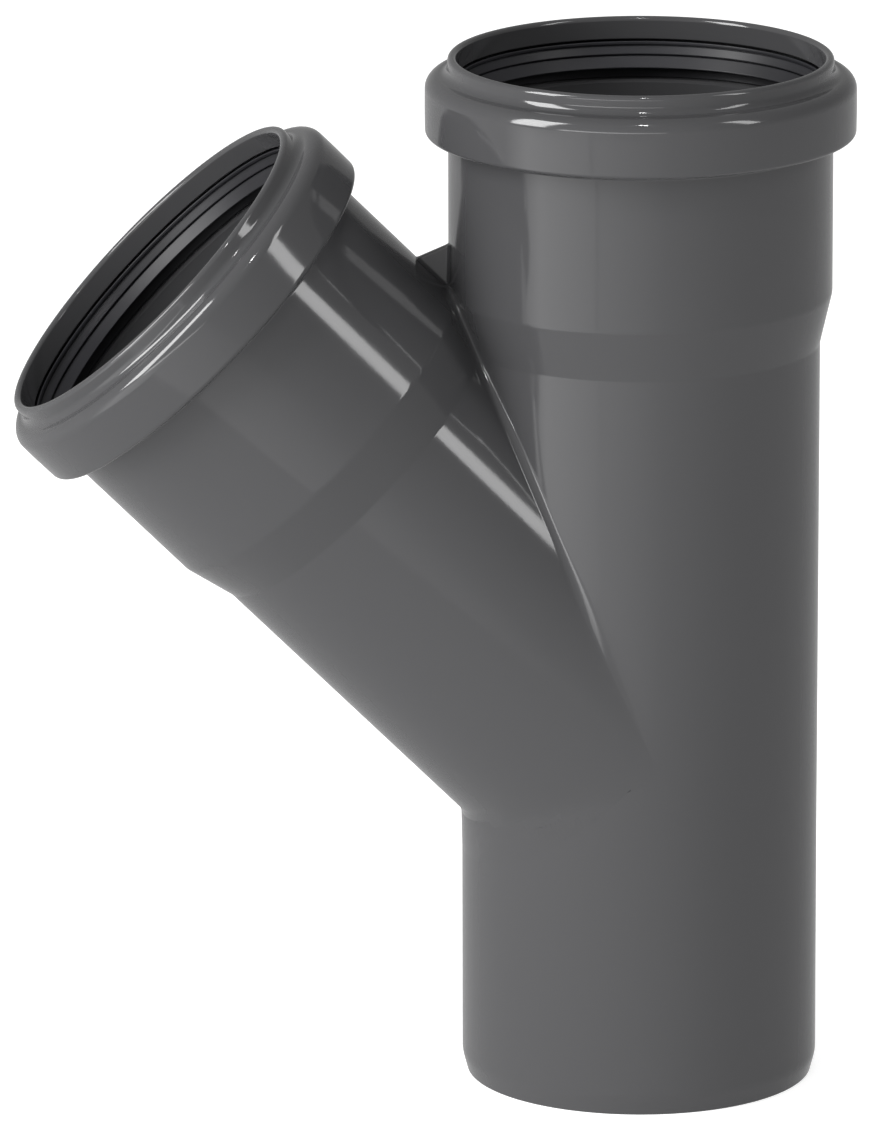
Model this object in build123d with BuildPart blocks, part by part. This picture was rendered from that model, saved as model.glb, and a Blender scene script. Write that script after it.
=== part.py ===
"""Lateral wye fitting for push-fit plastic drain pipe.

One moulding carries a straight run and a branch that leaves it at an angle. Each has a socket
with a rubber lip seal in its groove, and the run ends below in a bevelled spigot.

Frame: the origin is the centre of the spigot's end face, +Z runs up the run's axis and the
branch leans towards -X. Lengths are in millimetres.

Each arm is drawn as (radius, distance) outlines that turn about its own axis. Distance is
counted along that axis from the point where the two axes meet, and depth back from a mouth.
"""

import os
from math import cos, radians, sin, tan

from build123d import *

# Pipe, wall and draft
pipe_od = 75.0
wall = 2.0
draft_angle = 0.1
branch_angle = 45.0

# Laying lengths: the spigot, and each socket from the meeting point of the axes to its pipe stop
spigot_depth = 55.5
spigot_to_axes = 18.0
run_to_stop = 91.0
branch_to_stop = 91.0
socket_depth = 55.0

# Spigot end
bevel_angle = 15.0
bevel_length = 4.0
bevel_round = 8.0

# Socket, widened from the pipe by a taper that stops the pipe at stop_overlap inside its outside
socket_clearance = 0.4
socket_wall = 2.3
taper_angle = 14.0
stop_overlap = 0.6

# Groove for the seal, cut from the socket's bore, with a sloping roof and a chamfered floor edge
groove_depth = 5.1
groove_height = 7.1
groove_to_mouth = 6.3
groove_roof_rise = 1.6
groove_chamfer = 0.6

# Collar that covers the groove
collar_wall = 2.1
collar_roof = 1.7
collar_floor = 1.4
collar_undercut = 0.8
collar_top_round = 1.5
collar_chamfer = 0.7

# Mouth lip above the collar
lip_clearance = 0.5
lip_wall = 2.0
lip_shoulder_rise = 1.1
lip_chamfer = 0.5

# Web in the crotch
web_height = 9.0
web_thickness = 1.6
web_root = 2.0

# Seal ring: a heel in the groove, and two ribs and a lip that face the pipe.
# The lip is drawn as a fitted pipe leaves it, seal_lip_gap off the pipe.
seal_clearance = 0.15
seal_roof_gap = 0.4
seal_heel_wall = 2.4
seal_rib_gap = 0.6
seal_rib_height = 0.8
seal_band_height = 1.8
seal_nick_height = 0.3
seal_nick_depth = 0.6
seal_lip_gap = 0.2
seal_lip_height = 2.4
seal_lip_wall = 0.8
seal_notch_height = 1.8

# Radii and depths worked out from the sizes above
pipe_r = pipe_od / 2
bore_r = pipe_r - wall
stop_r = pipe_r - stop_overlap
socket_bore_r = pipe_r + socket_clearance
socket_r = socket_bore_r + socket_wall
groove_r = socket_bore_r + groove_depth
collar_r = groove_r + collar_wall
lip_bore_r = socket_bore_r + lip_clearance
lip_r = lip_bore_r + lip_wall
groove_floor_depth = groove_to_mouth + groove_height
lip_inner_depth = groove_to_mouth - groove_roof_rise
collar_top_depth = groove_to_mouth - collar_roof
collar_bottom_depth = groove_floor_depth + collar_floor
axes_height = spigot_depth + spigot_to_axes
run_mouth = run_to_stop + socket_depth
branch_mouth = branch_to_stop + socket_depth
half_angle = radians(branch_angle / 2)
taper = tan(radians(taper_angle))

run_plane = Plane(origin=(0, 0, axes_height), x_dir=(1, 0, 0), z_dir=(0, -1, 0))
branch_plane = run_plane.rotated((0, -branch_angle, 0))
crotch_plane = run_plane.rotated((0, -branch_angle / 2, 0))
run_axis = Axis(run_plane.origin, run_plane.y_dir)
branch_axis = Axis(branch_plane.origin, branch_plane.y_dir)


def drafted_r(distance):
    """Outside radius of the pipe walls, which the draft widens from the spigot upwards."""
    return pipe_r + (spigot_to_axes + distance) * tan(radians(draft_angle))


def taper_foot(to_stop, wall_outside):
    """Distance at which the taper starts, on the bore or wall_outside from it."""
    return to_stop - (stop_r - bore_r) / taper - wall_outside * tan(radians(taper_angle / 2))


def spigot_outside():
    """Corners of the spigot's outside, from its bevelled end up."""
    bevel_r = pipe_r - bevel_length * tan(radians(bevel_angle))
    return [
        (bevel_r, -axes_height),
        (pipe_r, bevel_length - axes_height, bevel_round),
        (pipe_r, -spigot_to_axes),
    ]


def socket_outside(to_stop):
    """Corners of a socket's outside from the taper to the mouth."""
    mouth = to_stop + socket_depth
    foot = taper_foot(to_stop, wall)
    collar_bottom = mouth - collar_bottom_depth
    collar_top = mouth - collar_top_depth
    return [
        (drafted_r(foot), foot),
        (socket_r, foot + (socket_r - pipe_r) / taper),
        (socket_r, collar_bottom - collar_undercut),
        (collar_r - collar_chamfer, collar_bottom),
        (collar_r, collar_bottom + collar_chamfer),
        (collar_r, collar_top, collar_top_round),
        (lip_r, collar_top + lip_shoulder_rise),
        (lip_r, mouth),
    ]


def socket_inside(to_stop):
    """Corners of a socket's inside from the taper to the mouth."""
    mouth = to_stop + socket_depth
    foot = taper_foot(to_stop, 0)
    groove_floor = mouth - groove_floor_depth
    return [
        (bore_r, foot),
        (socket_bore_r, foot + (socket_bore_r - bore_r) / taper),
        (socket_bore_r, groove_floor - groove_chamfer),
        (socket_bore_r + groove_chamfer, groove_floor),
        (groove_r, groove_floor),
        (groove_r, mouth - groove_to_mouth),
        (lip_bore_r, mouth - lip_inner_depth),
        (lip_bore_r, mouth),
    ]


def turned_outline(corners, foot, mouth):
    """Face between the arm's axis and a line through the corners. A third value rounds a corner."""
    points = [corner[:2] for corner in corners]
    rounds = [corner[2] if len(corner) > 2 else 0 for corner in corners]
    with BuildSketch() as outline:
        with BuildLine():
            FilletPolyline((0, foot), *points, (0, mouth), radius=rounds)
            Line((0, mouth), (0, foot))
        make_face()
    return outline.sketch


with BuildPart() as body:
    # Outside of the run and of the branch
    with BuildSketch(run_plane):
        add(turned_outline(spigot_outside() + socket_outside(run_to_stop), -axes_height, run_mouth))
    revolve(axis=run_axis)
    with BuildSketch(branch_plane):
        add(turned_outline([(drafted_r(0), 0)] + socket_outside(branch_to_stop), 0, branch_mouth))
    revolve(axis=branch_axis)

    # Web between the sockets, rooted in both walls
    crotch = socket_r / sin(half_angle)
    web_half_width = (web_height + web_root) * tan(half_angle)
    with BuildSketch(crotch_plane):
        with BuildLine():
            Polyline(
                (0, crotch - web_root),
                (web_half_width, crotch + web_height),
                (-web_half_width, crotch + web_height),
                close=True,
            )
        make_face()
    extrude(amount=web_thickness / 2, both=True)

    # Waterways and sockets
    with BuildSketch(run_plane):
        add(turned_outline([(bore_r, -axes_height)] + socket_inside(run_to_stop), -axes_height, run_mouth))
    revolve(axis=run_axis, mode=Mode.SUBTRACT)
    with BuildSketch(branch_plane):
        add(turned_outline([(bore_r, 0)] + socket_inside(branch_to_stop), 0, branch_mouth))
    revolve(axis=branch_axis, mode=Mode.SUBTRACT)

    # Edges of both mouths
    rims = body.edges().filter_by(GeomType.CIRCLE)
    chamfer(rims.group_by(run_axis)[-1], lip_chamfer)
    chamfer(rims.group_by(branch_axis)[-1], lip_chamfer)
body.part.label = "body"


def seal_ring(plane, axis, mouth):
    """Lip seal under the sloping roof of a socket's groove, seated on the groove's floor."""
    seal_r = groove_r - seal_clearance
    heel_r = seal_r - seal_heel_wall
    rib_r = pipe_r + seal_rib_gap
    nick_r = rib_r + seal_nick_depth
    lip_tip_r = pipe_r + seal_lip_gap
    roof_slope = groove_roof_rise / (groove_r - lip_bore_r)
    floor = mouth - groove_floor_depth
    top = mouth - lip_inner_depth - seal_roof_gap
    shoulder = top - roof_slope * (seal_r - lip_bore_r)
    rib_end = top - seal_rib_height
    band_start = rib_end - seal_nick_height
    band_end = band_start - seal_band_height
    lip_start = band_end - seal_nick_height
    lip_end = lip_start - seal_lip_height
    notch = lip_end + seal_notch_height
    with BuildPart() as ring:
        with BuildSketch(plane):
            with BuildLine():
                Polyline(
                    (seal_r, floor),
                    (seal_r, shoulder),
                    (rib_r, top),
                    (rib_r, rib_end),
                    (nick_r, rib_end),
                    (nick_r, band_start),
                    (rib_r, band_start),
                    (rib_r, band_end),
                    (nick_r, band_end),
                    (nick_r, lip_start),
                    (rib_r, lip_start),
                    (lip_tip_r, lip_end),
                    (lip_tip_r + seal_lip_wall, lip_end),
                    (nick_r + seal_lip_wall, notch),
                    (heel_r, notch),
                    (heel_r, floor),
                    close=True,
                )
            make_face()
        revolve(axis=axis)
    return ring.part


run_seal_ring = seal_ring(run_plane, run_axis, run_mouth)
run_seal_ring.label = "run_seal_ring"
branch_seal_ring = seal_ring(branch_plane, branch_axis, branch_mouth)
branch_seal_ring.label = "branch_seal_ring"

os.makedirs("parts", exist_ok=True)
export_step(body.part, "parts/body.step")
export_step(run_seal_ring, "parts/run_seal_ring.step")
export_step(branch_seal_ring, "parts/branch_seal_ring.step")
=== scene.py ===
"""Studio scene of a lateral wye fitting for push-fit drain pipe.

The fitting's body, the web in its crotch and its two lip seals are surfaces worked out with
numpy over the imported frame. They get procedural finishes, soft studio light and the camera of
the photograph. Sizes are in millimetres until a mesh is made, and Blender's are in metres.

Frame: the origin is the centre of the spigot's end face, +Z runs up the run and the branch
leans towards -X. An arm is drawn by radius and by distance along its axis from the point where
the axes meet.
"""

from __future__ import annotations

import logging
import math
from collections.abc import Sequence
from dataclasses import dataclass, field
from enum import Enum

import bpy
import numpy as np
from mathutils import Matrix, Vector

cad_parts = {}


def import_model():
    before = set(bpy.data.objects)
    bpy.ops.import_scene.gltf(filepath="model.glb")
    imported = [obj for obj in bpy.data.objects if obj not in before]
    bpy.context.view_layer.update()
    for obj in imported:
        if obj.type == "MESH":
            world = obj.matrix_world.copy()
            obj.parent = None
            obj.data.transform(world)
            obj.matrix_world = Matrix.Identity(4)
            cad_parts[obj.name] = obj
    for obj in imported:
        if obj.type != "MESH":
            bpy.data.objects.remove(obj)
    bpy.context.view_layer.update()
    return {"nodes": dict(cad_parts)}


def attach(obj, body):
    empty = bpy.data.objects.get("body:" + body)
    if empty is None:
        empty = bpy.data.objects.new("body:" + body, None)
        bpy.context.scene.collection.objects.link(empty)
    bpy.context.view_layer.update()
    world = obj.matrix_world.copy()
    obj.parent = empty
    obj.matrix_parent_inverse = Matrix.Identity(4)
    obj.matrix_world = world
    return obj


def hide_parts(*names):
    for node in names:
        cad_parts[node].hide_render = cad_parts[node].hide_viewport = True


LOG = logging.getLogger("wye_fitting")
MM = 0.001

# Points that agree to this many digits of a millimetre are one point
JOIN_DIGITS = 5


class Slot(Enum):
    """Material slots of the record that the pieces take their finish from."""

    PLASTIC = "grey_plastic"
    RUBBER = "black_rubber"


@dataclass(frozen=True)
class Corner:
    """Corner of an outline: radius and distance along the axis, and the round on it."""

    radius: float
    distance: float
    round: float = 0.0


def unit(vector: np.ndarray) -> np.ndarray:
    """Scale vectors along their last axis to length one."""
    return vector / np.linalg.norm(vector, axis=-1, keepdims=True)


def rounded_outline(
    corners: Sequence[Corner], margin: float = 0.12, turn_step: float = 12.0, arc_step: float = 1.2
) -> np.ndarray:
    """Trace an outline through its corners, each turned on its round.

    A round of radius R at a corner that turns by T starts and ends R tan(T / 2) from it. Its
    points are the arc's centre, less the inward normal times R cos(t), plus the incoming
    direction times R sin(t), for t from 0 to T. A point lies a margin outside each end of an
    arc, so that the shading of a flat stretch isn't bent by its neighbour.

    Args:
        corners: Corners in order, the first and last of them plain.
        margin: Distance from an arc's end to its supporting point.
        turn_step: Largest turn between two points of an arc, in degrees.
        arc_step: Largest distance between two points of an arc.

    Returns:
        Array of (radius, distance) points.
    """
    at = np.array([(corner.radius, corner.distance) for corner in corners])
    line = [at[0]]
    for before, here, after, corner in zip(at[:-2], at[1:-1], at[2:], corners[1:-1]):
        coming, going = unit(here - before), unit(after - here)
        side = coming[0] * going[1] - coming[1] * going[0]
        turn = math.acos(float(np.clip(coming @ going, -1.0, 1.0)))
        inward = np.array([-coming[1], coming[0]]) * (1.0 if side > 0 else -1.0)
        start = here - coming * corner.round * math.tan(turn / 2)
        by_turn = math.ceil(math.degrees(turn) / turn_step)
        by_length = math.ceil(corner.round * turn / arc_step)
        angle = np.linspace(0.0, turn, max(2, by_turn, by_length) + 1)[:, None]
        arc = start + inward * corner.round * (1 - np.cos(angle)) + coming * corner.round * np.sin(angle)
        if corner.round == 0:
            arc = here[None]
        room = 4 * margin + corner.round
        if np.linalg.norm(before - here) > room:
            line.append(start - coming * margin)
        line.extend(arc)
        if np.linalg.norm(after - here) > room:
            line.append(arc[-1] + going * margin)
    line.append(at[-1])
    return np.array(line)


@dataclass(frozen=True)
class Arm:
    """Straight arm of the fitting, with its own axis from the meeting point of the axes.

    Its near side faces the arm that it meets at twice the half angle. The sense is 1 where an
    outline's distances run along the arm, and -1 where they run against it.
    """

    meeting: np.ndarray
    along: np.ndarray
    toward: np.ndarray
    half_angle: float
    sense: float = 1.0
    across: np.ndarray = field(default_factory=lambda: np.array([0.0, 1.0, 0.0]))

    @property
    def left_handed(self) -> bool:
        """Whether the near side, the way across and the axis make a left-handed frame."""
        return bool(np.cross(self.toward, self.across) @ self.along < 0)

    def place(self, radius: np.ndarray, distance: np.ndarray, angle: np.ndarray) -> np.ndarray:
        """Place points on and round the arm's axis.

        A point is the meeting point, plus its distance along the axis, plus its radius along a
        spoke, which is the near side's direction times the angle's cosine plus the direction
        across times its sine.

        Args:
            radius: Radius of each point.
            distance: Distance of each point along the axis.
            angle: Angle of each point from the near side.

        Returns:
            Array of points, as large as the three arrays together.
        """
        radius, distance, angle = np.broadcast_arrays(radius, distance, angle)
        spoke = np.cos(angle)[..., None] * self.toward + np.sin(angle)[..., None] * self.across
        return self.meeting + distance[..., None] * self.along + radius[..., None] * spoke

    def measure(self, points: np.ndarray) -> tuple[np.ndarray, np.ndarray, np.ndarray]:
        """Measure points against the arm's axis.

        The distance is the offset's part along the axis, and the radius is the length of what
        is left of it, whose direction is the spoke.

        Args:
            points: Array of points.

        Returns:
            Radius, distance along the axis and outward spoke of each point.
        """
        offset = points - self.meeting
        distance = offset @ self.along
        spoke = offset - distance[..., None] * self.along
        radius = np.linalg.norm(spoke, axis=-1)
        return radius, distance, spoke / np.maximum(radius, 1e-9)[..., None]


@dataclass(frozen=True)
class Fitting:
    """Sizes that the pieces share, and the arms of the fitting."""

    branch_angle: float = 45.0
    spigot_depth: float = 55.5
    spigot_to_axes: float = 18.0
    mouth: float = 146.0
    pipe_r: float = 37.5
    wall: float = 2.0
    draft: float = 0.1
    socket_clearance: float = 0.4
    socket_wall: float = 2.3
    taper_angle: float = 14.0
    to_stop: float = 91.0
    stop_overlap: float = 0.6
    lip_clearance: float = 0.5
    lip_wall: float = 2.0
    groove_depth: float = 5.1
    groove_to_mouth: float = 6.3
    groove_height: float = 7.1
    groove_roof_rise: float = 1.6
    collar_wall: float = 2.1
    segments: int = 192

    @property
    def meeting(self) -> np.ndarray:
        """Point where the axes of the run and the branch meet."""
        return np.array([0.0, 0.0, self.spigot_depth + self.spigot_to_axes])

    @property
    def half_angle(self) -> float:
        """Half the angle between the run and the branch, in radians."""
        return math.radians(self.branch_angle / 2)

    @property
    def up(self) -> Arm:
        """Arm of the run's socket, whose near side faces the branch."""
        along, toward = np.array([0.0, 0.0, 1.0]), np.array([-1.0, 0.0, 0.0])
        return Arm(self.meeting, along, toward, self.half_angle)

    @property
    def down(self) -> Arm:
        """Arm of the spigot, whose near side faces the back of the branch."""
        along, toward = np.array([0.0, 0.0, -1.0]), np.array([-1.0, 0.0, 0.0])
        return Arm(self.meeting, along, toward, math.pi / 2 - self.half_angle, sense=-1.0)

    @property
    def branch(self) -> Arm:
        """Arm of the branch's socket, whose near side faces the run's socket.

        Its axis leans from the run's by the branch angle, and so does its near side.

        Returns:
            The arm.
        """
        lean = math.radians(self.branch_angle)
        along = np.array([-math.sin(lean), 0.0, math.cos(lean)])
        toward = np.array([math.cos(lean), 0.0, math.sin(lean)])
        return Arm(self.meeting, along, toward, self.half_angle)

    @property
    def angles(self) -> np.ndarray:
        """Angles round an arm's axis, one for each segment."""
        return np.arange(self.segments) * 2 * np.pi / self.segments

    @property
    def taper_slope(self) -> float:
        """Radius that a taper gains for each millimetre of distance."""
        return math.tan(math.radians(self.taper_angle))

    @property
    def socket_bore_r(self) -> float:
        """Radius of a socket's bore."""
        return self.pipe_r + self.socket_clearance

    @property
    def socket_r(self) -> float:
        """Outside radius of a socket."""
        return self.socket_bore_r + self.socket_wall

    @property
    def lip_bore_r(self) -> float:
        """Radius inside a mouth's lip."""
        return self.socket_bore_r + self.lip_clearance

    @property
    def groove_r(self) -> float:
        """Radius of a seal groove's wall."""
        return self.socket_bore_r + self.groove_depth

    @property
    def groove_floor(self) -> float:
        """Distance of a seal groove's floor."""
        return self.mouth - self.groove_to_mouth - self.groove_height


def grid_faces(rows: int, columns: int, closed_rows: bool = False) -> np.ndarray:
    """Quads of a grid whose columns close into a ring, and whose rows may too.

    Args:
        rows: Number of rows, counted along the profile.
        columns: Number of columns, counted round the axis.
        closed_rows: Whether the last row joins the first.

    Returns:
        Array of four point numbers for each quad.
    """
    row = np.arange(rows if closed_rows else rows - 1)[:, None] * columns
    column = np.arange(columns)[None]
    above = (row + columns) % (rows * columns)
    beside = (column + 1) % columns
    quads = [row + column, row + beside, above + beside, above + column]
    return np.stack(quads, axis=-1).reshape(-1, 4)


def make_piece(
    name: str, points: np.ndarray, faces: np.ndarray, sharp_angle: float = 40.0
) -> bpy.types.Object:
    """Make a closed mesh piece from points in millimetres.

    Points that coincide are joined, so that a quad with a side of no length becomes a
    triangle. The faces are turned over where the sum of their signed volumes from the origin
    is negative, so that they point outwards.

    Args:
        name: Name of the piece.
        points: Array of points in millimetres.
        faces: Array of quads.
        sharp_angle: Edges that turn by more than this many degrees stay sharp.

    Returns:
        The new object, linked to the scene.
    """
    keys = np.round(points.reshape(-1, 3), JOIN_DIGITS)
    _, first, number = np.unique(keys, axis=0, return_index=True, return_inverse=True)
    points = points.reshape(-1, 3)[first] * MM
    faces = number.reshape(-1)[faces]
    a, b, c, d = (points[faces[:, k]] for k in range(4))
    volume = (np.cross(a, b) * c).sum() + (np.cross(a, c) * d).sum()
    if volume < 0:
        faces = faces[:, ::-1]
    mesh = bpy.data.meshes.new(name)
    mesh.from_pydata(points.tolist(), [], [tuple(dict.fromkeys(face)) for face in faces.tolist()])
    mesh.validate()
    mesh.polygons.foreach_set("use_smooth", np.ones(len(mesh.polygons), bool))
    mesh.set_sharp_from_angle(angle=math.radians(sharp_angle))
    piece = bpy.data.objects.new(name, mesh)
    bpy.context.scene.collection.objects.link(piece)
    return piece


def dress(piece: bpy.types.Object, material: bpy.types.Material) -> None:
    """Give a piece one material in place of any that it has."""
    piece.data.materials.clear()
    piece.data.materials.append(material)


class NodeSheet:
    """One material's node tree, with short methods for the nodes that the finishes share."""

    # Most of a noise's values lie between these two
    NOISE_RANGE = (0.3, 0.7)

    def __init__(self, name: str) -> None:
        """Start a material with its shader and Object coordinates.

        Args:
            name: Name of the material.
        """
        self.material = bpy.data.materials.new(name)
        self.material.use_nodes = True
        self.tree = self.material.node_tree
        self.shader = self.tree.nodes["Principled BSDF"]
        self.coordinates = self.tree.nodes.new("ShaderNodeTexCoord").outputs["Object"]

    def noise(
        self, scale: float, detail: float = 2.0, stretch: tuple[float, float, float] = (1.0, 1.0, 1.0)
    ) -> bpy.types.NodeSocket:
        """Add a noise pattern.

        Args:
            scale: Cells of the noise in a metre.
            detail: Octaves of the noise.
            stretch: Scale of the pattern along X, Y and Z.

        Returns:
            The pattern's value socket.
        """
        mapping = self.tree.nodes.new("ShaderNodeMapping")
        mapping.inputs["Scale"].default_value = stretch
        self.tree.links.new(self.coordinates, mapping.inputs["Vector"])
        noise = self.tree.nodes.new("ShaderNodeTexNoise")
        noise.inputs["Scale"].default_value = scale
        noise.inputs["Detail"].default_value = detail
        self.tree.links.new(mapping.outputs["Vector"], noise.inputs["Vector"])
        return noise.outputs["Fac"]

    def blend(
        self, factor: bpy.types.NodeSocket, low: Sequence[float], high: Sequence[float]
    ) -> bpy.types.NodeSocket:
        """Add a ramp between two colours over the range of a noise.

        Args:
            factor: Value socket of the noise.
            low: Colour at the range's start.
            high: Colour at its end.

        Returns:
            The ramp's colour socket.
        """
        ramp = self.tree.nodes.new("ShaderNodeValToRGB")
        for stop, place, colour in zip(ramp.color_ramp.elements, self.NOISE_RANGE, (low, high)):
            stop.position, stop.color = place, (*colour, 1.0)
        self.tree.links.new(factor, ramp.inputs["Fac"])
        return ramp.outputs["Color"]

    def spread(self, factor: bpy.types.NodeSocket, low: float, high: float) -> bpy.types.NodeSocket:
        """Map the range of a noise onto another range.

        Args:
            factor: Value socket of the noise.
            low: Value at the range's start.
            high: Value at its end.

        Returns:
            The mapped value's socket.
        """
        spread = self.tree.nodes.new("ShaderNodeMapRange")
        for socket, value in zip(spread.inputs[1:5], (*self.NOISE_RANGE, low, high)):
            socket.default_value = value
        self.tree.links.new(factor, spread.inputs["Value"])
        return spread.outputs["Result"]

    def set_colour(self, socket: bpy.types.NodeSocket) -> None:
        """Feed the shader's base colour."""
        self.tree.links.new(socket, self.shader.inputs["Base Color"])

    def set_roughness(self, socket: bpy.types.NodeSocket) -> None:
        """Feed the shader's roughness."""
        self.tree.links.new(socket, self.shader.inputs["Roughness"])

    def set_bump(self, height: bpy.types.NodeSocket, strength: float, distance: float) -> None:
        """Add a bump to the shader's normal.

        Args:
            height: Value socket of the pattern that is raised.
            strength: Share of the bump that shows.
            distance: Depth of the bump, in metres.
        """
        bump = self.tree.nodes.new("ShaderNodeBump")
        bump.inputs["Strength"].default_value = strength
        bump.inputs["Distance"].default_value = distance
        self.tree.links.new(height, bump.inputs["Height"])
        self.tree.links.new(bump.outputs["Normal"], self.shader.inputs["Normal"])


@dataclass(frozen=True)
class PlasticFinish:
    """Satin moulded plastic: an even grey with faint flow shading and a fine skin."""

    colour: tuple[float, float, float] = (0.051, 0.051, 0.053)
    shade: float = 0.93
    roughness: tuple[float, float] = (0.075, 0.11)
    specular: float = 0.5
    flow_scale: float = 9.0
    flow_stretch: tuple[float, float, float] = (1.0, 1.0, 0.35)
    sheen_scale: float = 60.0
    skin_scale: float = 900.0
    skin_strength: float = 0.03
    skin_depth: float = 0.0001

    def material(self) -> bpy.types.Material:
        """Build the finish as shader nodes on Object coordinates.

        Returns:
            The new material.
        """
        sheet = NodeSheet("moulded_grey_plastic")
        flow = sheet.noise(self.flow_scale, detail=3.0, stretch=self.flow_stretch)
        dark = tuple(channel * self.shade for channel in self.colour)
        sheet.set_colour(sheet.blend(flow, dark, self.colour))
        sheet.set_roughness(sheet.spread(sheet.noise(self.sheen_scale), *self.roughness))
        sheet.set_bump(sheet.noise(self.skin_scale), self.skin_strength, self.skin_depth)
        sheet.shader.inputs["Specular IOR Level"].default_value = self.specular
        return sheet.material


@dataclass(frozen=True)
class RubberFinish:
    """Black moulded rubber of the seals, with a faint bluish bloom."""

    colour: tuple[float, float, float] = (0.012, 0.012, 0.014)
    bloom: tuple[float, float, float] = (0.022, 0.022, 0.026)
    roughness: tuple[float, float] = (0.42, 0.52)
    specular: float = 0.32
    bloom_scale: float = 45.0
    skin_scale: float = 1400.0
    skin_strength: float = 0.10
    skin_depth: float = 0.0001

    def material(self) -> bpy.types.Material:
        """Build the finish as shader nodes on Object coordinates.

        Returns:
            The new material.
        """
        sheet = NodeSheet("black_seal_rubber")
        bloom = sheet.noise(self.bloom_scale, detail=4.0)
        sheet.set_colour(sheet.blend(bloom, self.colour, self.bloom))
        sheet.set_roughness(sheet.spread(bloom, *self.roughness))
        sheet.set_bump(sheet.noise(self.skin_scale), self.skin_strength, self.skin_depth)
        sheet.shader.inputs["Specular IOR Level"].default_value = self.specular
        return sheet.material


@dataclass(frozen=True)
class StageFinish:
    """Matt pale surface of the floor and the sweep behind it, which glows a little."""

    colour: tuple[float, float, float] = (0.66, 0.66, 0.66)
    roughness: tuple[float, float] = (0.85, 0.95)
    glow: float = 0.7
    grain_scale: float = 4.0

    def material(self) -> bpy.types.Material:
        """Build the finish as shader nodes on Object coordinates.

        Returns:
            The new material.
        """
        sheet = NodeSheet("pale_floor")
        sheet.shader.inputs["Base Color"].default_value = (*self.colour, 1.0)
        sheet.shader.inputs["Emission Color"].default_value = (1.0, 1.0, 1.0, 1.0)
        sheet.shader.inputs["Emission Strength"].default_value = self.glow
        # The glow is only seen, so no light is sampled from it
        sheet.material.cycles.emission_sampling = "NONE"
        sheet.set_roughness(sheet.spread(sheet.noise(self.grain_scale), *self.roughness))
        return sheet.material


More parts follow.
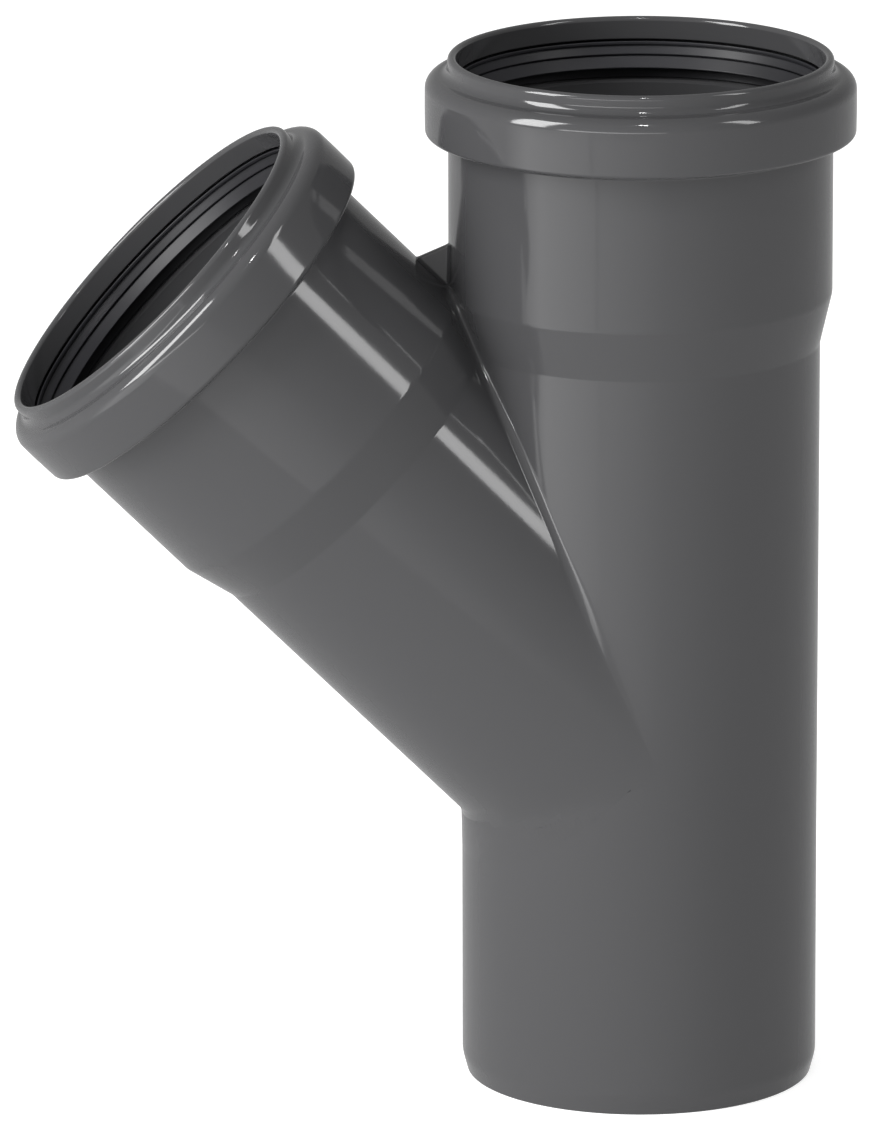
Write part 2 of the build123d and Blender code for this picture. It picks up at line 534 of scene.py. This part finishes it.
@dataclass
class Body:
    """The moulded body: three arms that share their seams, from the outside to the waterway."""

    fitting: Fitting

    # Creases between the arms, outside and in the waterway
    crease_round: float = 2.0
    crease_growth: float = 3.5
    crease_turns: tuple[float, float] = (65.0, 25.0)
    crease_fade: float = 15.0
    crease_steps: int = 14
    least_slope: float = 0.2
    bore_crease_round: float = 0.8

    # Tapers
    taper_foot_round: float = 3.0
    taper_top_round: float = 5.0
    taper_turn_step: float = 2.5

    # Collar, lip and groove
    collar_bottom: float = 129.8
    collar_top: float = 141.95
    collar_undercut: float = 1.3
    collar_bottom_round: float = 0.9
    collar_top_round: float = 2.8
    collar_root_round: float = 0.5
    collar_crown: float = 0.1
    collar_crown_round: float = 200.0
    lip_foot: float = 142.1
    lip_foot_round: float = 1.7
    lip_draft: float = 0.12
    lip_round: float = 0.85
    groove_chamfer: float = 0.6
    groove_round: float = 0.3

    # Spigot's end
    bevel_length: float = 4.0
    bevel_angle: float = 15.0
    bevel_round: float = 8.0
    spigot_edge_round: float = 0.4

    # Rows of the mesh, and where an arm goes on as a turned outline
    seam_samples: int = 4000
    seam_step: float = 0.3
    seam_rows: int = 15
    far_step: float = 0.1
    plain_to: float = 70.0
    plain_rows: int = 31
    taper_gap: float = 1.0
    socket_rows: int = 4
    spigot_rows: int = 23
    straight_from: float = 107.0
    spigot_from: float = 25.0

    def drafted(self, distance: float) -> float:
        """Outside radius of the pipe walls, which widen by the draft from the spigot upwards."""
        drafted_length = self.fitting.spigot_to_axes + distance
        return self.fitting.pipe_r + drafted_length * math.tan(math.radians(self.fitting.draft))

    def outside(self) -> np.ndarray:
        """Outline of the run's outside from the spigot's end to the straight of its socket.

        The pipe stops where the taper's bore is narrower than the pipe by the stop's overlap.
        The taper's outside starts below that by the wall times the tangent of half its angle.

        Returns:
            Array of (radius, distance) points.
        """
        fitting = self.fitting
        stop_rise = fitting.wall - fitting.stop_overlap
        shift = fitting.wall * math.tan(math.radians(fitting.taper_angle / 2))
        foot = fitting.to_stop - stop_rise / fitting.taper_slope - shift
        top = foot + (fitting.socket_r - fitting.pipe_r) / fitting.taper_slope
        end = -fitting.meeting[2]
        bevel_r = fitting.pipe_r - self.bevel_length * math.tan(math.radians(self.bevel_angle))
        return rounded_outline(
            [
                Corner(bevel_r, end),
                Corner(fitting.pipe_r, end + self.bevel_length, self.bevel_round),
                Corner(fitting.pipe_r, -fitting.spigot_to_axes),
                Corner(self.drafted(foot), foot, self.taper_foot_round),
                Corner(fitting.socket_r, top, self.taper_top_round),
                Corner(fitting.socket_r, self.collar_bottom),
            ],
            turn_step=self.taper_turn_step,
        )

    def inside(self) -> np.ndarray:
        """Outline of the waterway from the spigot's end to the straight of a socket's bore.

        Returns:
            Array of (radius, distance) points.
        """
        fitting = self.fitting
        bore_r = fitting.pipe_r - fitting.wall
        foot = fitting.to_stop - (fitting.wall - fitting.stop_overlap) / fitting.taper_slope
        top = foot + (fitting.socket_bore_r - bore_r) / fitting.taper_slope
        return rounded_outline(
            [
                Corner(bore_r, -fitting.meeting[2]),
                Corner(bore_r, foot, self.taper_foot_round),
                Corner(fitting.socket_bore_r, top, self.taper_top_round),
                Corner(fitting.socket_bore_r, fitting.groove_floor),
            ],
            turn_step=self.taper_turn_step,
        )

    def mouth_outline(self) -> np.ndarray:
        """Outline from a socket's outside over its collar, lip and groove to its bore.

        Returns:
            Array of (radius, distance) points.
        """
        fitting = self.fitting
        lip_r = fitting.lip_bore_r + fitting.lip_wall
        collar_r = fitting.groove_r + fitting.collar_wall
        roof = fitting.mouth - fitting.groove_to_mouth
        return rounded_outline(
            [
                Corner(fitting.socket_r, self.straight_from),
                Corner(fitting.socket_r, self.collar_bottom - self.collar_undercut, self.collar_root_round),
                Corner(collar_r - self.collar_crown, self.collar_bottom, self.collar_bottom_round),
                Corner(collar_r, (self.collar_bottom + self.collar_top) / 2, self.collar_crown_round),
                Corner(collar_r - self.collar_crown, self.collar_top, self.collar_top_round),
                Corner(lip_r, self.lip_foot, self.lip_foot_round),
                Corner(lip_r - self.lip_draft, fitting.mouth, self.lip_round),
                Corner(fitting.lip_bore_r, fitting.mouth, self.lip_round),
                Corner(fitting.lip_bore_r, roof + fitting.groove_roof_rise, self.groove_round),
                Corner(fitting.groove_r, roof, self.groove_round),
                Corner(fitting.groove_r, fitting.groove_floor, self.groove_round),
                Corner(fitting.socket_bore_r + self.groove_chamfer, fitting.groove_floor),
                Corner(fitting.socket_bore_r, fitting.groove_floor - self.groove_chamfer),
                Corner(fitting.socket_bore_r, self.straight_from),
            ]
        )

    def spigot_outline(self, outside: np.ndarray) -> np.ndarray:
        """Outline from the spigot's outside round its end into the waterway.

        Args:
            outside: (radius, distance) points of the run's outside, from the spigot's end up.

        Returns:
            Array of (radius, distance) points, with distances counted down the spigot's arm.
        """
        fitting = self.fitting
        end = fitting.meeting[2]
        going_down = outside[outside[:, 1] < -self.spigot_from][::-1]
        bore_r = fitting.pipe_r - fitting.wall
        edge = [Corner(radius, -distance) for radius, distance in going_down[:-1]]
        tip = rounded_outline(
            [
                edge[-1],
                Corner(going_down[-1][0], end, self.spigot_edge_round),
                Corner(bore_r, end, self.spigot_edge_round),
                Corner(bore_r, self.spigot_from),
            ]
        )
        start = np.array([[np.interp(-self.spigot_from, outside[:, 1], outside[:, 0]), self.spigot_from]])
        return np.vstack([start, [(corner.radius, corner.distance) for corner in edge[:-1]], tip])

    def seam(self, arm: Arm, outline: np.ndarray) -> np.ndarray:
        """Distance at which an arm meets its neighbours, for each angle round it.

        On the near side the seam lies in the plane that halves the angle between two arms, so
        that distance times the tangent of the half angle is radius times the angle's cosine.
        On the far side it lies square across the meeting point.

        Args:
            arm: The arm.
            outline: (radius, distance) points of its wall.

        Returns:
            One distance for each angle.
        """
        distance = np.linspace(0.0, self.straight_from, self.seam_samples)
        radius = np.interp(arm.sense * distance, outline[:, 1], outline[:, 0])
        cosine = distance * math.tan(arm.half_angle) / radius
        return np.interp(np.maximum(np.cos(self.fitting.angles), 0.0), cosine, distance)

    def rows(self, fixed: np.ndarray, seam: np.ndarray) -> np.ndarray:
        """Distances of an arm's rows: each at its fixed place, or kept off the seam if further.

        A row is kept off the seam by a step for each row up to it, a wider step for the rows
        near the seam and a finer one for those beyond.

        Args:
            fixed: Distance of each row where the seam is far.
            seam: Distance of the seam for each angle.

        Returns:
            Array of rows by angles.
        """
        count = np.arange(len(fixed))
        near = np.minimum(count, self.seam_rows)
        offset = self.seam_step * near + self.far_step * (count - near)
        return np.maximum(fixed[:, None], seam[None] + offset[:, None])

    def onto_walls(self, points: np.ndarray, outline: np.ndarray, fillet: float) -> np.ndarray:
        """Move points onto the joined walls of the run and the branch, filleted where they meet.

        A wall's gap is a point's radius from its axis less the wall's radius there. Where both
        gaps are under the fillet, the joined gap is the fillet less the root of the sum of the
        squares of fillet minus gap, and elsewhere it is the smaller gap. A round R on walls
        whose spokes turn by T reaches to a gap of R (1 - cos T), which is the fillet here. The
        round grows from its own size, where T is the larger crease turn or more, by the square
        of the share that cos T has gone towards the smaller one, and loses that growth towards
        the meeting point. Each step moves a point back along its outward direction.

        Args:
            points: Points near the walls.
            outline: (radius, distance) points of both walls.
            fillet: Round of the seam.

        Returns:
            The points on the joined walls.
        """
        tight, flat = np.cos(np.radians(self.crease_turns))
        for _ in range(self.crease_steps):
            run_r, run_distance, run_spoke = self.fitting.up.measure(points)
            branch_r, branch_distance, branch_spoke = self.fitting.branch.measure(points)
            run_gap = run_r - np.interp(run_distance, outline[:, 1], outline[:, 0])
            branch_gap = branch_r - np.interp(branch_distance, outline[:, 1], outline[:, 0])
            # The branch ends at the meeting point, and the run goes on below it
            past_end = np.hypot(np.maximum(branch_gap, 0.0), branch_distance)
            branch_gap = np.where(branch_distance < 0, past_end, branch_gap)

            facing = (run_spoke * branch_spoke).sum(axis=-1)
            share = np.clip((facing - tight) / (flat - tight), 0.0, 1.0)
            above = np.clip(np.minimum(run_distance, branch_distance) / self.crease_fade, 0.0, 1.0)
            grown = fillet * (1.0 + self.crease_growth * above * share**2)
            blend = grown * (1.0 - facing).clip(1e-4, 1.0)

            run_lack = np.maximum(blend - run_gap, 0.0)
            branch_lack = np.maximum(blend - branch_gap, 0.0)
            in_crease = (run_lack > 0) & (branch_lack > 0)
            reach = np.hypot(run_lack, branch_lack)
            joined = np.where(in_crease, blend - reach, np.minimum(run_gap, branch_gap))
            run_part = (run_lack / np.maximum(reach, 1e-9))[..., None]
            branch_part = (branch_lack / np.maximum(reach, 1e-9))[..., None]
            mixed = run_part * run_spoke + branch_part * branch_spoke
            nearer = np.where((run_gap <= branch_gap)[..., None], run_spoke, branch_spoke)
            outward = np.where(in_crease[..., None], mixed, nearer)
            slope = np.maximum((outward * outward).sum(axis=-1), self.least_slope)
            points = points - (joined / slope)[..., None] * outward
        return points

    def arm_wall(self, arm: Arm, outline: np.ndarray, fixed: np.ndarray, fillet: float) -> np.ndarray:
        """Rows of points from an arm's seam to where its outline goes on alone.

        Args:
            arm: The arm.
            outline: (radius, distance) points of its wall.
            fixed: Distances of the rows away from the seam.
            fillet: Round of the seam.

        Returns:
            Array of rows by angles by three.
        """
        distance = self.rows(fixed, self.seam(arm, outline))
        radius = np.interp(arm.sense * distance, outline[:, 1], outline[:, 0])
        points = arm.place(radius, distance, self.fitting.angles[None])
        return self.onto_walls(points, outline, fillet)

    def fixed_rows(self, outline: np.ndarray) -> np.ndarray:
        """Distances of a socket arm's rows, closer where its taper turns.

        Args:
            outline: (radius, distance) points of the arm's wall.

        Returns:
            Array of distances.
        """
        in_taper = (outline[:, 1] > self.plain_to) & (outline[:, 1] < self.straight_from)
        turns = outline[in_taper, 1]
        plain = np.linspace(0.0, turns[0] - self.taper_gap, self.plain_rows)
        beyond = np.linspace(turns[-1] + self.taper_gap, self.straight_from, self.socket_rows)
        return np.concatenate([plain, turns, beyond])

    def share_seams(self, up: np.ndarray, down: np.ndarray, branch: np.ndarray) -> None:
        """Give the arms the same points along their seams, in place.

        Args:
            up: First row of the run's socket arm.
            down: First row of the spigot's arm.
            branch: First row of the branch, whose angles run the other way to the spigot's.
        """
        count = self.fitting.segments
        near = np.cos(self.fitting.angles) > -1e-9
        far = np.cos(self.fitting.angles) < 1e-9
        branch[near] = up[near]
        down[far] = up[far]
        facing = (count // 2 - np.arange(count)) % count
        branch[facing[near]] = down[near]

    def arm_walls(self, outline: np.ndarray, fillet: float) -> tuple[np.ndarray, np.ndarray, np.ndarray]:
        """Walls of the three arms up to where their outlines go on alone.

        Args:
            outline: (radius, distance) points of the walls.
            fillet: Round of the seams.

        Returns:
            Rows by angles by three for the run's socket arm, the branch and the spigot's arm.
        """
        fixed = self.fixed_rows(outline)
        spigot_fixed = np.linspace(0.0, self.spigot_from, self.spigot_rows)
        up = self.arm_wall(self.fitting.up, outline, fixed, fillet)
        branch = self.arm_wall(self.fitting.branch, outline, fixed, fillet)
        down = self.arm_wall(self.fitting.down, outline, spigot_fixed, fillet)
        self.share_seams(up[0], down[0], branch[0])
        return up, branch, down

    def build(self, plastic: bpy.types.Material) -> bpy.types.Object:
        """Build the body as one closed mesh, and dress it.

        Each arm is one grid: its outer wall from the seam, its mouth or end turned round the
        axis, and its waterway back to the seam.

        Args:
            plastic: Material of the moulding.

        Returns:
            The body.
        """
        fitting = self.fitting
        outside = self.outside()
        outer = self.arm_walls(outside, self.crease_round)
        inner = self.arm_walls(self.inside(), self.bore_crease_round)
        mouth, tip = self.mouth_outline(), self.spigot_outline(outside)
        arms = fitting.up, fitting.branch, fitting.down
        points, faces, count = [], [], 0
        for arm, line, outer_wall, inner_wall in zip(arms, (mouth, mouth, tip), outer, inner):
            turned = arm.place(line[:, :1], line[:, 1:], fitting.angles[None])
            grid = np.concatenate([outer_wall, turned[1:-1], inner_wall[::-1]])
            quads = grid_faces(len(grid), fitting.segments)
            if arm.left_handed:
                quads = quads[:, ::-1]
            points.append(grid.reshape(-1, 3))
            faces.append(quads + count)
            count += len(points[-1])
        piece = make_piece("moulded_body", np.concatenate(points), np.concatenate(faces))
        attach(piece, "root")
        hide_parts("body")
        dress(piece, plastic)
        return piece


@dataclass
class CrotchWeb:
    """Flat web that ties the two sockets together above the crotch."""

    fitting: Fitting
    height: float = 9.0
    thickness: float = 1.6
    root_round: float = 0.8
    edge_round: float = 0.3
    sink: float = 0.5
    bottom_sink: float = 1.5
    rows: int = 40
    edge_rows: int = 4
    columns: int = 61

    def build(self, plastic: bpy.types.Material) -> bpy.types.Object:
        """Build the web as a ring of section points carried across it, and dress it.

        The half width at a height h over the crotch is h times the tangent of the half angle.
        The half thickness is the web's own, plus R - sqrt(R^2 - (R - g)^2) within the root
        round R of a wall at the gap g.

        Args:
            plastic: Material of the moulding.

        Returns:
            The web.
        """
        fitting = self.fitting
        half = fitting.half_angle
        crotch = fitting.socket_r / math.sin(half)
        rise = np.linspace(-self.bottom_sink, self.height - self.edge_round, self.rows)
        turn = np.linspace(0.0, np.pi / 2, self.edge_rows + 1)[1:]
        over = self.height - self.edge_round * (1 - np.sin(turn))
        side = np.concatenate([rise, over])
        thin = np.concatenate([np.zeros_like(rise), self.edge_round * (1 - np.cos(turn))])
        reach = np.maximum(side, 0.0)[:, None] * math.tan(half) + self.sink
        across = np.linspace(-1.0, 1.0, self.columns)[None] * reach
        gap = (reach - self.sink - np.abs(across)) * math.cos(half)
        short = np.clip(self.root_round - gap, 0.0, self.root_round)
        swell = self.root_round - np.sqrt(self.root_round**2 - short**2)
        thick = self.thickness / 2 - thin[:, None] + swell
        up = np.array([-math.sin(half), 0.0, math.cos(half)])
        right = np.array([math.cos(half), 0.0, math.sin(half)])
        middle = fitting.meeting + (crotch + side)[:, None, None] * up + across[..., None] * right
        shift = thick[..., None] * np.array([0.0, 1.0, 0.0])
        ring = np.moveaxis(np.concatenate([middle - shift, (middle + shift)[::-1]]), 1, 0)
        count, around = ring.shape[:2]

        # Each end is closed by quads from the ring's front half to its back half
        front = np.arange(around // 2)
        back = around - 1 - front
        cap = np.stack([front[:-1], front[1:], back[1:], back[:-1]], axis=-1)
        faces = np.concatenate([grid_faces(count, around), cap[:, ::-1], cap + (count - 1) * around])
        piece = make_piece("crotch_web", ring.reshape(-1, 3), faces)
        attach(piece, "root")
        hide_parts("body")
        dress(piece, plastic)
        return piece


@dataclass
class SealRing:
    """Rubber lip seal in a socket's groove: two ribs, and a lip that leans into the bore."""

    fitting: Fitting
    roof_gap: float = 0.4
    wall_gap: float = 0.15
    heel_wall: float = 2.4
    rib_r: float = 38.1
    rib_height: float = 0.8
    band_height: float = 1.8
    band_lean: float = 0.45
    nick_height: float = 0.3
    nick_depth: float = 0.6
    lip_tip_r: float = 36.3
    lip_height: float = 2.4
    lip_wall: float = 0.8
    notch_height: float = 1.8
    edge_round: float = 0.2
    nick_round: float = 0.08
    outline_margin: float = 0.03
    outline_turn_step: float = 20.0

    def outline(self) -> np.ndarray:
        """Closed outline of the ring's section, each corner on its round.

        Returns:
            Array of (radius, distance) points, whose last joins the first.
        """
        fitting = self.fitting
        seal_r = fitting.groove_r - self.wall_gap
        floor = fitting.groove_floor
        top = fitting.mouth - fitting.groove_to_mouth + fitting.groove_roof_rise - self.roof_gap
        slope = fitting.groove_roof_rise / (fitting.groove_r - fitting.lip_bore_r)
        nick_r = self.rib_r + self.nick_depth
        band = top - self.rib_height - self.nick_height
        lip = band - self.band_height - self.nick_height
        tip = lip - self.lip_height
        heel = Corner(seal_r - self.heel_wall, (floor + tip) / 2)
        closed = rounded_outline(
            [
                heel,
                Corner(heel.radius, floor, self.edge_round),
                Corner(seal_r, floor, self.edge_round),
                Corner(seal_r, top - slope * (seal_r - fitting.lip_bore_r), self.edge_round),
                Corner(self.rib_r, top, self.edge_round),
                Corner(self.rib_r, top - self.rib_height, self.edge_round),
                Corner(nick_r, top - self.rib_height, self.nick_round),
                Corner(nick_r, band, self.nick_round),
                Corner(self.rib_r + self.band_lean, band, self.edge_round),
                Corner(self.rib_r - self.band_lean, band - self.band_height, self.edge_round),
                Corner(nick_r, band - self.band_height, self.nick_round),
                Corner(nick_r, lip, self.nick_round),
                Corner(self.rib_r, lip, self.edge_round),
                Corner(self.lip_tip_r, tip, self.edge_round),
                Corner(self.lip_tip_r + self.lip_wall, tip, self.edge_round),
                Corner(nick_r + self.lip_wall, tip + self.notch_height, self.edge_round),
                Corner(heel.radius, tip + self.notch_height, self.edge_round),
                heel,
            ],
            margin=self.outline_margin,
            turn_step=self.outline_turn_step,
        )
        return closed[:-1]

    def build(self, name: str, arm: Arm, node: str, rubber: bpy.types.Material) -> bpy.types.Object:
        """Turn the section round an arm's axis, and dress the ring.

        Args:
            name: Name of the piece.
            arm: Arm whose groove holds the ring.
            node: Node of the frame that the piece stands for.
            rubber: Material of the seals.

        Returns:
            The ring.
        """
        line = self.outline()
        points = arm.place(line[:, :1], line[:, 1:], self.fitting.angles[None])
        faces = grid_faces(len(line), self.fitting.segments, closed_rows=True)
        piece = make_piece(name, points, faces)
        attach(piece, "root")
        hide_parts(node)
        dress(piece, rubber)
        return piece


@dataclass(frozen=True)
class SoftLight:
    """Rectangular studio light, placed by the direction from which it shines.

    Azimuth 0 is the front, and it grows towards +X. The spans are how wide and how tall the
    light looks from the target, in degrees, and the brightness is its radiance. The fade is the
    share of it at the light's left and right ends, seen from the target. A light that fades
    comes up from nothing over its left edge, whose width is a share of the light's.
    """

    name: str
    azimuth: float
    elevation: float
    spans: tuple[float, float]
    brightness: float
    distance: float = 1.5
    fade: tuple[float, float] = (1.0, 1.0)
    edge: float = 0.06

    def place(self, target: Vector) -> bpy.types.Object:
        """Add the light, turned to its target.

        Args:
            target: Point that the light faces, in metres.

        Returns:
            The light's object.
        """
        side, rise = math.radians(self.azimuth), math.radians(self.elevation)
        away = Vector((math.sin(side) * math.cos(rise), -math.cos(side) * math.cos(rise), math.sin(rise)))
        width, height = (2 * self.distance * math.tan(math.radians(span / 2)) for span in self.spans)
        data = bpy.data.lights.new(self.name, "AREA")
        data.shape = "RECTANGLE"
        data.size, data.size_y = width, height
        # An area light's radiance is its energy over four times its area
        data.energy = 4 * width * height * self.brightness
        if self.fade != (1.0, 1.0):
            self.add_fade(data)
        lamp = bpy.data.objects.new(self.name, data)
        lamp.location = target + away * self.distance
        lamp.rotation_euler = away.to_track_quat("Z", "Y").to_euler()
        lamp.visible_camera = False
        bpy.context.scene.collection.objects.link(lamp)
        return lamp

    def add_fade(self, data: bpy.types.Light) -> None:
        """Let the light's strength run along its width.

        Args:
            data: The light.
        """
        data.use_nodes = True
        tree = data.node_tree
        across = tree.nodes.new("ShaderNodeSeparateXYZ")
        spot = tree.nodes.new("ShaderNodeNewGeometry").outputs["Parametric"]
        tree.links.new(spot, across.inputs["Vector"])
        ramp = tree.nodes.new("ShaderNodeValToRGB")
        ramp.color_ramp.elements.new(self.edge)
        for stop, place, share in zip(ramp.color_ramp.elements, (0.0, self.edge, 1.0), (0.0, *self.fade)):
            stop.position, stop.color = place, (share, share, share, 1.0)
        tree.links.new(across.outputs["X"], ramp.inputs["Fac"])
        tree.links.new(ramp.outputs["Color"], tree.nodes["Emission"].inputs["Strength"])


@dataclass
class Studio:
    """Floor with a sweep behind it, soft lights, pale surroundings and the camera.

    The softboxes and the lamp stand high and make the sharp highlights. The cards stand low in
    front and lighten the walls.
    """

    # Stage
    floor_reach: float = 6.0
    sweep_start: float = 4.5
    sweep_radius: float = 0.8
    sweep_height: float = 2.4
    sweep_points: int = 25

    # Surroundings, and how their brightness changes to the right, to the back and upwards
    surround: float = 0.51
    surround_slopes: tuple[float, float, float] = (-0.095, -0.09, -0.10)
    horizon_band: float = 0.25

    # Camera
    camera_place: tuple[float, float, float] = (-0.28728, -2.42999, 0.74897)
    camera_yaw: float = 5.7328
    camera_pitch: float = -14.6366
    camera_roll: float = -0.1358
    focal_length: float = 383.0
    sensor_width: float = 36.0
    clip_end: float = 50.0

    # Lights
    target: Vector = field(default_factory=lambda: Vector((-0.02, 0.0, 0.12)))
    lights: tuple[SoftLight, ...] = (
        SoftLight("left_softbox", azimuth=-67.5, elevation=28.0, spans=(21.0, 44.0), brightness=11.0),
        SoftLight("right_softbox", azimuth=56.3, elevation=36.0, spans=(8.3, 32.0), brightness=5.6),
        SoftLight("top_lamp", azimuth=-2.9, elevation=62.0, spans=(2.8, 2.8), brightness=80.0),
        SoftLight(
            "front_card",
            azimuth=-22.0,
            elevation=0.0,
            spans=(58.0, 6.0),
            brightness=5.2,
            distance=2.0,
            fade=(1.0, 0.25),
        ),
        SoftLight(
            "left_card",
            azimuth=-54.0,
            elevation=-7.0,
            spans=(50.0, 26.0),
            brightness=1.1,
            distance=0.32,
            fade=(1.0, 0.4),
            edge=0.3,
        ),
        SoftLight(
            "middle_card",
            azimuth=-9.0,
            elevation=-7.0,
            spans=(40.0, 26.0),
            brightness=0.37,
            distance=0.32,
            fade=(1.0, 0.0),
        ),
    )

    def build_stage(self) -> bpy.types.Object:
        """Build the floor and sweep as one sheet, a profile carried along X.

        The profile runs flat, then round a quarter circle, then straight up.

        Returns:
            The stage.
        """
        turn = np.linspace(0.0, np.pi / 2, self.sweep_points)
        curve = self.sweep_start + self.sweep_radius * np.sin(turn)
        depth = np.concatenate([[-self.floor_reach], curve, curve[-1:]])
        rise = np.concatenate([[0.0], self.sweep_radius * (1 - np.cos(turn)), [self.sweep_height]])
        sides = np.array([-self.floor_reach, self.floor_reach])
        points = np.stack(np.broadcast_arrays(sides[:, None], depth[None], rise[None]), axis=-1)
        step = np.arange(len(depth) - 1)
        faces = np.stack([step, step + len(depth), step + len(depth) + 1, step + 1], axis=-1)
        mesh = bpy.data.meshes.new("pale_stage")
        mesh.from_pydata(points.reshape(-1, 3).tolist(), [], faces.tolist())
        mesh.polygons.foreach_set("use_smooth", np.ones(len(mesh.polygons), bool))
        stage = bpy.data.objects.new("pale_stage", mesh)
        bpy.context.scene.collection.objects.link(stage)
        dress(stage, StageFinish().material())
        # Reflections show the lights and the even surroundings, and not the stage's edges
        stage.visible_glossy = False
        return stage

    def light(self) -> None:
        """Set the surroundings and place the lights.

        The surroundings' strength is their level, plus the dot product of the direction with
        the slopes along X and Y, plus a term that goes from minus to plus the slope along Z
        as the direction's Z goes over the horizon band.
        """
        world = bpy.data.worlds.new("studio")
        world.use_nodes = True
        tree = world.node_tree
        direction = tree.nodes.new("ShaderNodeTexCoord").outputs["Generated"]
        level = tree.nodes.new("ShaderNodeVectorMath")
        level.operation = "DOT_PRODUCT"
        level.inputs[1].default_value = (*self.surround_slopes[:2], 0.0)
        tree.links.new(direction, level.inputs[0])
        parts = tree.nodes.new("ShaderNodeSeparateXYZ")
        tree.links.new(direction, parts.inputs["Vector"])
        rise = tree.nodes.new("ShaderNodeMapRange")
        below, above = self.surround - self.surround_slopes[2], self.surround + self.surround_slopes[2]
        for socket, value in zip(rise.inputs[1:5], (-self.horizon_band, self.horizon_band, below, above)):
            socket.default_value = value
        tree.links.new(parts.outputs["Z"], rise.inputs["Value"])
        total = tree.nodes.new("ShaderNodeMath")
        tree.links.new(level.outputs["Value"], total.inputs[0])
        tree.links.new(rise.outputs["Result"], total.inputs[1])
        tree.links.new(total.outputs["Value"], tree.nodes["Background"].inputs["Strength"])
        tree.nodes["Background"].inputs["Color"].default_value = (1.0, 1.0, 1.0, 1.0)
        bpy.context.scene.world = world
        for light in self.lights:
            light.place(self.target)

    def aim_camera(self) -> None:
        """Place the camera by its yaw from +Y, its pitch and its roll."""
        yaw, pitch, roll = (math.radians(a) for a in (self.camera_yaw, self.camera_pitch, self.camera_roll))
        forward = Vector((math.sin(yaw) * math.cos(pitch), math.cos(yaw) * math.cos(pitch), math.sin(pitch)))
        level_right = forward.cross(Vector((0.0, 0.0, 1.0))).normalized()
        level_up = level_right.cross(forward)
        right = math.cos(roll) * level_right + math.sin(roll) * level_up
        up = math.cos(roll) * level_up - math.sin(roll) * level_right
        data = bpy.data.cameras.new("camera")
        data.sensor_width = self.sensor_width
        data.lens = self.focal_length
        data.clip_end = self.clip_end
        camera = bpy.data.objects.new("camera", data)
        camera.location = self.camera_place
        camera.rotation_euler = Matrix((right, up, -forward)).transposed().to_euler()
        bpy.context.scene.collection.objects.link(camera)
        bpy.context.scene.camera = camera

    def build(self) -> None:
        """Build the stage, the light and the camera, and set how colours are shown."""
        self.build_stage()
        self.light()
        self.aim_camera()
        bpy.context.scene.view_settings.view_transform = "Standard"


def report(piece: bpy.types.Object) -> None:
    """Log a piece and its number of faces."""
    LOG.info("built %s with %d faces", piece.name, len(piece.data.polygons))


def main() -> None:
    """Load the frame, build and dress the pieces, and set the studio round them."""
    logging.basicConfig(level=logging.INFO, format="%(name)s: %(message)s")
    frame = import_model()
    fitting = Fitting()
    plastic, rubber = PlasticFinish().material(), RubberFinish().material()
    ring = SealRing(fitting)
    pieces = [
        Body(fitting).build(plastic),
        CrotchWeb(fitting).build(plastic),
        ring.build("run_lip_seal", fitting.up, "run_seal_ring", rubber),
        ring.build("branch_lip_seal", fitting.branch, "branch_seal_ring", rubber),
    ]
    for name, node in frame["nodes"].items():
        dress(node, plastic if name == "body" else rubber)
    for piece in pieces:
        report(piece)
    Studio().build()


if __name__ == "__main__":
    main()
